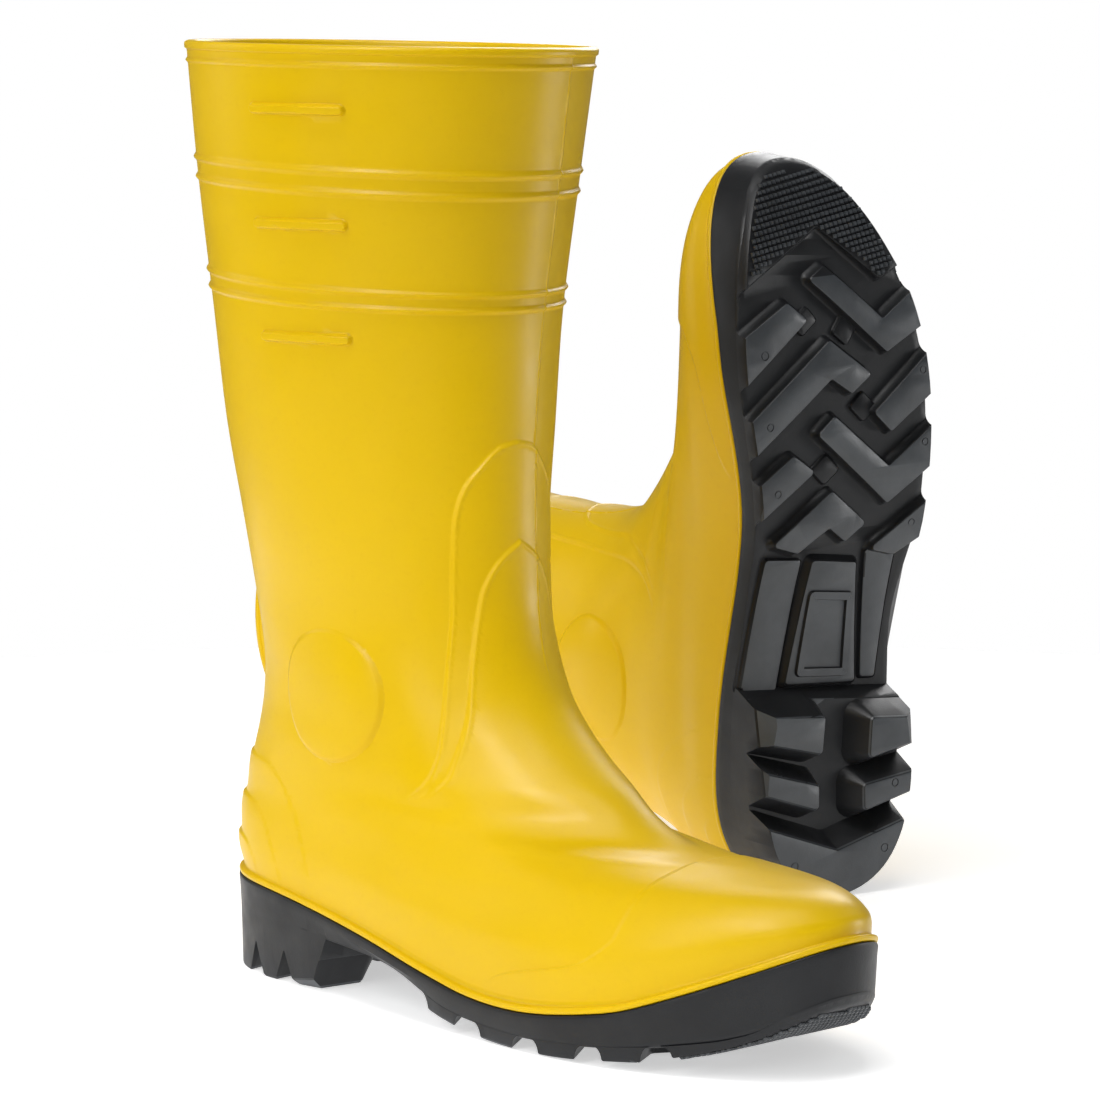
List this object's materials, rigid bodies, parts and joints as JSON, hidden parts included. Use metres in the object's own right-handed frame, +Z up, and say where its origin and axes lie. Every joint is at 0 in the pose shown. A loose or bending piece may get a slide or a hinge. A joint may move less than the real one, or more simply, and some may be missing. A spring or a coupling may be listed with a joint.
{
  "type": "knee boots",
  "caption": "Pair of knee-high moulded deck boots: the right stands, the left lies on its back. Shells on lugged outsole cups, with steel toe caps and midsoles, linings and loose insoles.",
  "frame": {"origin": "middle of the tread face of the rear heel block of the standing right boot, on the ground", "axes": "+X towards the right boot's toe, +Y towards its inner side and the lying left boot, +Z up"},
  "size_m": [0.5781, 0.4234, 0.3532],
  "materials": {
    "yellow_pvc": "satin moulded",
    "black_sole": "satin moulded",
    "cap_steel": "pressed sheet",
    "cap_strip_rubber": "matte",
    "plate_steel": "rolled sheet",
    "lining_textile": "knitted",
    "insole_foam": "textile-faced foam",
    "cushion_gel": "soft matte"
  },
  "bodies": {
    "right_boot": {"right_upper": "yellow_pvc", "right_outsole": "black_sole", "right_toe_cap": "cap_steel", "right_cap_strip": "cap_strip_rubber", "right_midsole_plate": "plate_steel", "right_lining": "lining_textile"},
    "right_footbed": {"right_insole": "insole_foam", "right_heel_cushion": "cushion_gel"},
    "left_boot": {"left_upper": "yellow_pvc", "left_outsole": "black_sole", "left_toe_cap": "cap_steel", "left_cap_strip": "cap_strip_rubber", "left_midsole_plate": "plate_steel", "left_lining": "lining_textile"},
    "left_footbed": {"left_insole": "insole_foam", "left_heel_cushion": "cushion_gel"}
  },
  "joints": [
    {"name": "left_boot_pull", "type": "slide", "parent": "right_boot", "child": "left_boot", "axis": [0, 1, 0], "range_m": [0, 0.15]},
    {"name": "right_insole_lift", "type": "hinge", "parent": "right_boot", "child": "right_footbed", "pos_m": [0.272, 0.01, 0.03097], "axis": [0, 1, 0], "range_deg": [0, 4]},
    {"name": "left_insole_lift", "type": "hinge", "parent": "left_boot", "child": "left_footbed", "pos_m": [0.04958, 0.22684, 0.29], "axis": [0.1565, 0.9853, 0.0679], "range_deg": [0, 4]}
  ]
}
